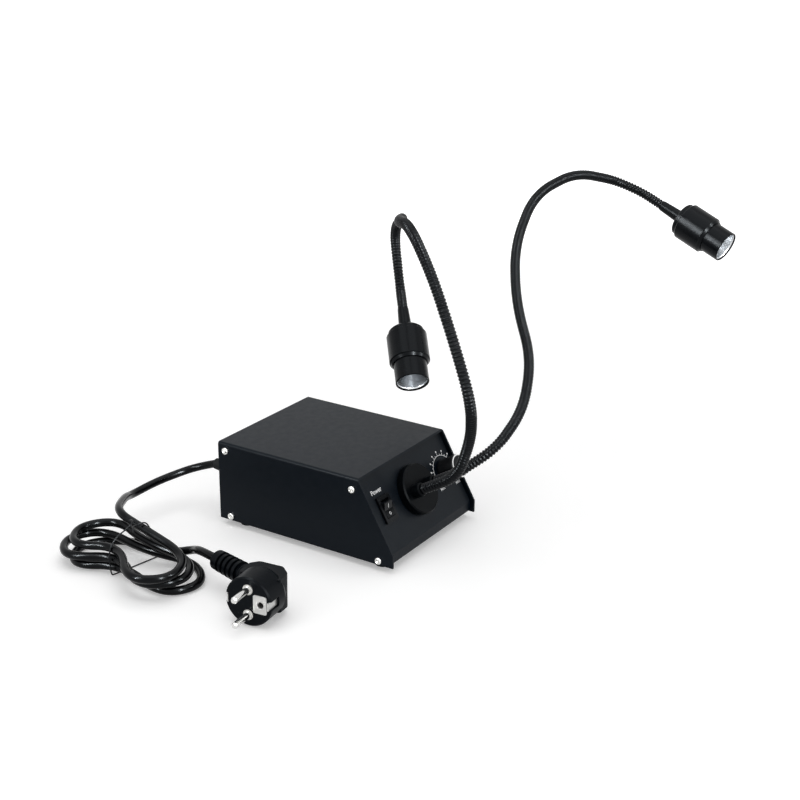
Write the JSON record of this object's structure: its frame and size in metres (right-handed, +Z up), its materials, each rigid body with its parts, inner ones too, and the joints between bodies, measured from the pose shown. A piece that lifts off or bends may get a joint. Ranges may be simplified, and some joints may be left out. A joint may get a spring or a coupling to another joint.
{
  "type": "twin gooseneck bench light",
  "caption": "Bench light: a sheet-metal power box with a switch and dimmer, flexible arms carrying lamp heads, and a mains lead tied in a hank.",
  "frame": {"origin": "on the table, under the middle of the box's footprint, in the plane of the feet", "axes": "+Z up, +Y toward the rear wall with the cord, -Y toward the sloping control panel, +X toward the dimmer"},
  "size_m": [0.5207, 0.3368, 0.2511],
  "materials": {
    "black_coat": "satin powder coat",
    "chassis_coat": "satin powder coat",
    "bright_nickel": "bright",
    "black_rubber": "matte",
    "hub_black": "satin",
    "arm_black": "satin, ribbed",
    "head_black": "black anodised",
    "reflector_bright": "polished",
    "led_board": "white",
    "led_dome": "clear",
    "switch_black": "gloss",
    "knob_black": "matte",
    "silver_trim": "brushed",
    "plated_steel": "plated",
    "board_green": "satin",
    "winding_yellow": "matte",
    "can_blue": "satin",
    "terminal_grey": "matte",
    "cord_black": "satin PVC",
    "tie_black": "satin",
    "plug_black": "satin",
    "ring_white": "matte"
  },
  "bodies": {
    "box": {"base_chassis": "chassis_coat", "top_cover": "black_coat", "cover_screws": "bright_nickel", "rubber_feet": "black_rubber", "foot_screws": "plated_steel", "arm_hub": "hub_black", "left_arm_socket": "hub_black", "right_arm_socket": "hub_black", "arm_nuts": "plated_steel", "dimmer_body": "plated_steel", "dimmer_nut": "plated_steel", "switch_frame": "switch_black", "switch_terminals": "plated_steel", "board_standoffs": "plated_steel", "board_screws": "bright_nickel", "circuit_board": "board_green", "transformer_core": "plated_steel", "transformer_winding": "winding_yellow", "capacitors": "can_blue", "heat_sink": "silver_trim", "terminal_block": "terminal_grey", "cord_gland": "black_rubber", "gland_clip": "black_rubber", "mains_leads": "cord_black", "cord_lead": "cord_black", "cord_tail": "cord_black", "cord_hank": "cord_black", "cord_tie": "tie_black", "plug_body": "plug_black", "plug_pins": "bright_nickel", "pin_rings": "ring_white", "earth_contacts": "bright_nickel"},
    "rocker": {"switch_rocker": "switch_black"},
    "dimmer_knob": {"knob": "knob_black", "knob_ring": "silver_trim", "dimmer_shaft": "silver_trim"},
    "left_arm_first": {"left_arm_lower": "arm_black"},
    "left_arm_second": {"left_arm_middle": "arm_black"},
    "left_head": {"left_arm_upper": "arm_black", "left_head_ferrule": "head_black", "left_rear_cap": "head_black", "left_lamp_body": "head_black", "left_front_tube": "head_black", "left_reflector": "reflector_bright", "left_led_board": "led_board", "left_led_lens": "led_dome"},
    "right_arm_first": {"right_arm_lower": "arm_black"},
    "right_arm_second": {"right_arm_middle": "arm_black"},
    "right_head": {"right_arm_upper": "arm_black", "right_head_ferrule": "head_black", "right_rear_cap": "head_black", "right_lamp_body": "head_black", "right_front_tube": "head_black", "right_reflector": "reflector_bright", "right_led_board": "led_board", "right_led_lens": "led_dome"}
  },
  "joints": [
    {"name": "switch_tip", "type": "hinge", "parent": "box", "child": "rocker", "pos_m": [-0.04, -0.05924, 0.03989], "axis": [-1, 0, 0], "range_deg": [0, 24]},
    {"name": "dimmer_turn", "type": "hinge", "parent": "box", "child": "dimmer_knob", "pos_m": [0.0436, -0.06617, 0.04389], "axis": [0, 0.866, -0.5], "range_deg": [0, 250]},
    {"name": "left_swing", "type": "hinge", "parent": "box", "child": "left_arm_first", "pos_m": [-0.01271, -0.117, 0.1003], "axis": [0, 0, 1], "range_deg": [-25, 25], "deforming": ["left_arm_lower"]},
    {"name": "left_raise", "type": "hinge", "parent": "left_arm_first", "child": "left_arm_second", "pos_m": [-0.01395, -0.07376, 0.23429], "axis": [0.6189, -0.7854, 0], "range_deg": [-6, 25], "deforming": ["left_arm_middle"]},
    {"name": "left_head_tilt", "type": "hinge", "parent": "left_arm_second", "child": "left_head", "pos_m": [0.09622, 0.02287, 0.21055], "axis": [-0.6572, 0.7537, 0], "range_deg": [-10, 25], "deforming": ["left_arm_upper"]},
    {"name": "right_swing", "type": "hinge", "parent": "box", "child": "right_arm_first", "pos_m": [0.03164, -0.11735, 0.08121], "axis": [0, 0, 1], "range_deg": [-25, 25], "deforming": ["right_arm_lower"]},
    {"name": "right_raise", "type": "hinge", "parent": "right_arm_first", "child": "right_arm_second", "pos_m": [0.15002, -0.06176, 0.18058], "axis": [-0.335, -0.9422, 0], "range_deg": [-15, 20], "deforming": ["right_arm_middle"]},
    {"name": "right_head_tilt", "type": "hinge", "parent": "right_arm_second", "child": "right_head", "pos_m": [0.29219, -0.07173, 0.23294], "axis": [-0.991, 0.1337, 0], "range_deg": [-20, 20], "deforming": ["right_arm_upper"]}
  ]
}
